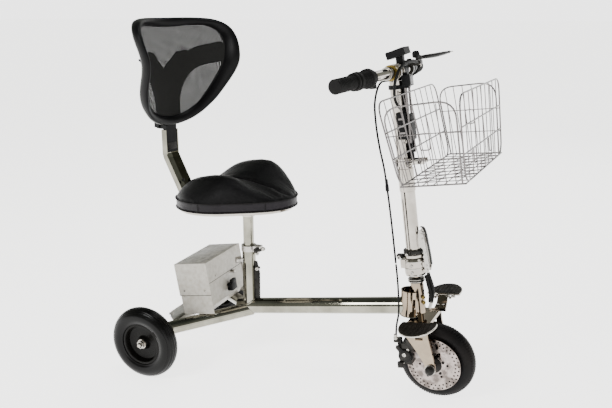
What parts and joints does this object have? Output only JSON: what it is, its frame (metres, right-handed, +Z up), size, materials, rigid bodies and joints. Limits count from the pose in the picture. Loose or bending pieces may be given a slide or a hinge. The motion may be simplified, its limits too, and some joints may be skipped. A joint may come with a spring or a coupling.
{
  "type": "mobility scooter",
  "caption": "Light folding mobility scooter with a chrome tube frame, padded swivel saddle, curved mesh backrest, battery box, wire basket and braked front wheel.",
  "frame": {"origin": "on the ground under the middle of the overall length and width", "axes": "+X is the direction of travel, +Y is the rider's left, +Z is up"},
  "size_m": [0.9904, 0.5571, 0.9572],
  "materials": {
    "chrome": "polished",
    "steel": "satin",
    "black_metal": "satin",
    "grey_sheet": "satin",
    "black_plastic": "gloss",
    "tyre": "matte",
    "rubber": "matte",
    "seat_cover": "satin",
    "netting": "matte",
    "footrest_pad": "matte",
    "amber_collar": "satin"
  },
  "bodies": {
    "frame": {"main_tube": "chrome", "rear_tube_right": "chrome", "rear_tube_left": "chrome", "rear_axle_right": "steel", "rear_axle_left": "steel", "tail_plate": "grey_sheet", "seat_socket": "chrome", "post_gusset": "black_metal", "front_socket": "chrome", "head_tube": "chrome", "headset_ring": "black_metal", "battery_case": "grey_sheet", "battery_lid": "grey_sheet", "battery_pack": "black_plastic", "post_clamp": "steel"},
    "wheel_rear_right": {"rear_tyre_right": "tyre", "rear_rim_right": "black_plastic"},
    "wheel_rear_left": {"rear_tyre_left": "tyre", "rear_rim_left": "black_plastic"},
    "post_lever": {"post_lever": "steel"},
    "index_pin": {"index_pin": "steel"},
    "seat_post": {"post_tube": "chrome"},
    "seat": {"seat_pan": "chrome", "seat_cushion": "seat_cover", "back_arm": "chrome"},
    "backrest": {"back_bracket": "black_plastic", "back_frame": "black_plastic", "back_mesh": "netting", "back_spine": "black_plastic"},
    "fork": {"fork_crown": "chrome", "fork_leg_right": "chrome", "fork_leg_left": "chrome", "front_axle": "black_metal", "caliper_body": "black_metal", "stem_base": "chrome", "brake_cable_lower": "rubber"},
    "wheel_front": {"front_tyre": "tyre", "hub_motor": "black_metal", "brake_disc": "steel"},
    "caliper_arm": {"caliper_arm": "steel"},
    "footrest_right": {"footrest_right": "footrest_pad"},
    "footrest_left": {"footrest_left": "footrest_pad"},
    "stem_latch": {"stem_latch": "steel"},
    "stem": {"stem_tube": "chrome", "handlebar": "chrome", "bar_clamp": "amber_collar", "display": "black_plastic", "headlight": "black_plastic", "lever_bracket": "black_metal", "switch_pod": "black_plastic", "grip_right": "rubber", "grip_left": "rubber", "basket": "chrome", "basket_mount": "black_metal", "brake_cable_upper": "rubber", "harness": "rubber"},
    "throttle": {"throttle": "rubber"},
    "brake_lever": {"brake_lever": "black_metal"},
    "horn_button": {"horn_button": "black_plastic"}
  },
  "joints": [
    {"name": "steering", "type": "hinge", "parent": "frame", "child": "fork", "pos_m": [0.33378, -0.0012, 0.26728], "axis": [-0.134, 0, 0.991], "range_deg": [-32, 38]},
    {"name": "rear_wheel_right_spin", "type": "hinge", "parent": "frame", "child": "wheel_rear_right", "pos_m": [-0.3685, -0.2162, 0.1], "axis": [0, 1, 0], "continuous": true},
    {"name": "rear_wheel_left_spin", "type": "hinge", "parent": "frame", "child": "wheel_rear_left", "pos_m": [-0.3685, 0.2138, 0.1], "axis": [0, 1, 0], "continuous": true},
    {"name": "front_wheel_spin", "type": "hinge", "parent": "fork", "child": "wheel_front", "pos_m": [0.39247, -0.00307, 0.10003], "axis": [0.0519, 0.9986, 0.007], "continuous": true},
    {"name": "post_lever_open", "type": "hinge", "parent": "frame", "child": "post_lever", "pos_m": [-0.1235, -0.0152, 0.3343], "axis": [0, 1, 0], "range_deg": [0, 90]},
    {"name": "index_pin_pull", "type": "slide", "parent": "frame", "child": "index_pin", "axis": [-0.7071, -0.7071, 0], "range_m": [0, 0.006], "stiffness_N_per_m": 800, "springref_m": -0.004},
    {"name": "post_height", "type": "slide", "parent": "frame", "child": "seat_post", "axis": [0, 0, 1], "range_m": [-0.065, 0.02]},
    {"name": "seat_swivel", "type": "hinge", "parent": "seat_post", "child": "seat", "pos_m": [-0.1545, -0.0012, 0.446], "axis": [0, 0, 1], "range_deg": [-75, 105]},
    {"name": "backrest_height", "type": "slide", "parent": "seat", "child": "backrest", "axis": [0, 0, 1], "range_m": [0, 0.045]},
    {"name": "caliper_arm_pull", "type": "hinge", "parent": "fork", "child": "caliper_arm", "pos_m": [0.3189, -0.0565, 0.12399], "axis": [0.0519, 0.9986, 0.007], "range_deg": [0, 20]},
    {"name": "footrest_right_fold", "type": "hinge", "parent": "fork", "child": "footrest_right", "pos_m": [0.36613, -0.10584, 0.24118], "axis": [-0.9896, 0.0523, -0.1338], "range_deg": [0, 88]},
    {"name": "footrest_left_fold", "type": "hinge", "parent": "fork", "child": "footrest_left", "pos_m": [0.37682, 0.09988, 0.24262], "axis": [0.9896, -0.0523, 0.1338], "range_deg": [0, 88]},
    {"name": "stem_latch_open", "type": "hinge", "parent": "fork", "child": "stem_latch", "pos_m": [0.35778, -0.00298, 0.34318], "axis": [0.0519, 0.9986, 0.007], "range_deg": [0, 70]},
    {"name": "stem_fold", "type": "hinge", "parent": "fork", "child": "stem", "pos_m": [0.29115, 0.00032, 0.36646], "axis": [-0.0519, -0.9986, -0.007], "range_deg": [0, 40]},
    {"name": "throttle_twist", "type": "hinge", "parent": "stem", "child": "throttle", "pos_m": [0.23322, -0.15012, 0.8277], "axis": [-0.2001, -0.9786, -0.047], "range_deg": [0, 50], "stiffness_Nm_per_rad": 0.25, "springref_deg": -11.46},
    {"name": "brake_lever_pull", "type": "hinge", "parent": "stem", "child": "brake_lever", "pos_m": [0.28031, 0.11959, 0.85945], "axis": [-0.134, 0, 0.991], "range_deg": [0, 22], "stiffness_Nm_per_rad": 1, "springref_deg": -5.73},
    {"name": "horn_press", "type": "slide", "parent": "stem", "child": "horn_button", "axis": [0.134, 0, -0.991], "range_m": [0, 0.002], "stiffness_N_per_m": 300, "springref_m": -0.001}
  ],
  "couplings": [
    {"joint": "caliper_arm_pull", "follows": "brake_lever_pull", "ratio": 0.9}
  ]
}
